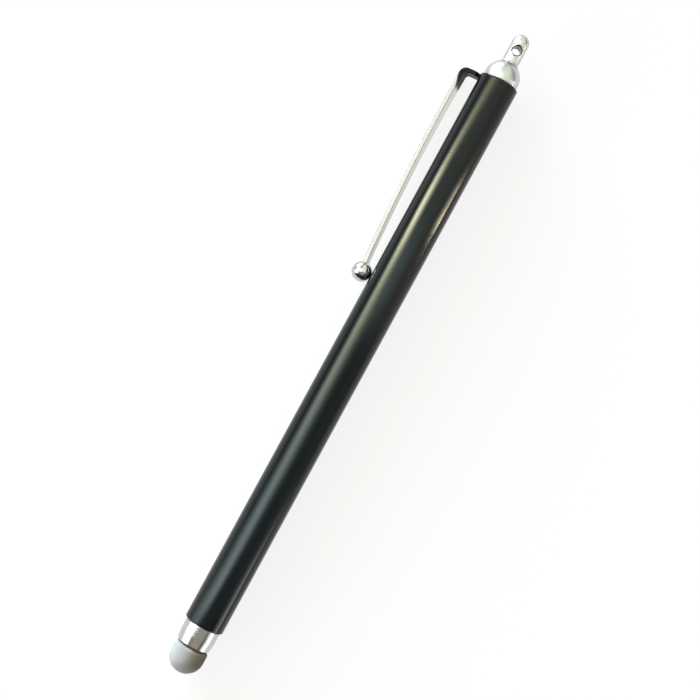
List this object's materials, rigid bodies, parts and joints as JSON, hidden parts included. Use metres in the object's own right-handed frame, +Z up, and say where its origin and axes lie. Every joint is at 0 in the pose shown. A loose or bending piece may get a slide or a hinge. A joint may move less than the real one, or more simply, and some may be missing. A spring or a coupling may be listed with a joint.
{
  "type": "stylus pen",
  "caption": "Touch-screen stylus: round gloss barrel, sprung pocket clip with a ball end, screw-in soft knitted tip and a domed cap with a cross-drilled lanyard post.",
  "frame": {"origin": "middle of the pen's box on the surface that it lies on", "axes": "+X along the pen from the tip to the lanyard post, +Y to the clip's side, +Z up from the surface that it lies on"},
  "size_m": [0.143, 0.0122, 0.0082],
  "materials": {
    "lacquer": "gloss black lacquer on a thin aluminium tube",
    "cap_chrome": "bright plating on turned brass",
    "clip_chrome": "bright plating on a spring steel strip",
    "brass": "plain turned brass",
    "bush_plastic": "moulded nylon",
    "seal_rubber": "soft rubber",
    "knit": "fine knit of silver-coated yarn",
    "foam": "soft conductive foam"
  },
  "bodies": {
    "barrel": {"barrel_tube": "lacquer", "front_bush": "brass", "rear_bush": "bush_plastic", "end_cap": "cap_chrome"},
    "spring_clip": {"clip": "clip_chrome", "clip_ball": "cap_chrome"},
    "seal": {"tip_seal": "seal_rubber"},
    "tip_unit": {"ferrule": "cap_chrome"},
    "tip_dome": {"tip_mesh": "knit", "mesh_ring": "brass", "tip_core": "foam"}
  },
  "joints": [
    {"name": "clip_flex", "type": "hinge", "parent": "barrel", "child": "spring_clip", "pos_m": [0.05918, 0.00152, 0.00291], "axis": [0, -0.3165, -0.9486], "range_deg": [0, 3], "stiffness_Nm_per_rad": 2.5},
    {"name": "tip_draw", "type": "slide", "parent": "barrel", "child": "seal", "axis": [-1, 0, 0], "range_m": [0, 0.0042]},
    {"name": "tip_turn", "type": "hinge", "parent": "seal", "child": "tip_unit", "pos_m": [-0.06102, -0.00203, 0.0041], "axis": [-1, 0, 0], "range_deg": [0, 2160]},
    {"name": "tip_press", "type": "slide", "parent": "tip_unit", "child": "tip_dome", "axis": [1, 0, 0], "range_m": [0, 0.0004], "stiffness_N_per_m": 2500, "deforming": ["tip_core"]}
  ],
  "couplings": [
    {"joint": "tip_turn", "follows": "tip_draw", "rad_per_m": 8976}
  ]
}
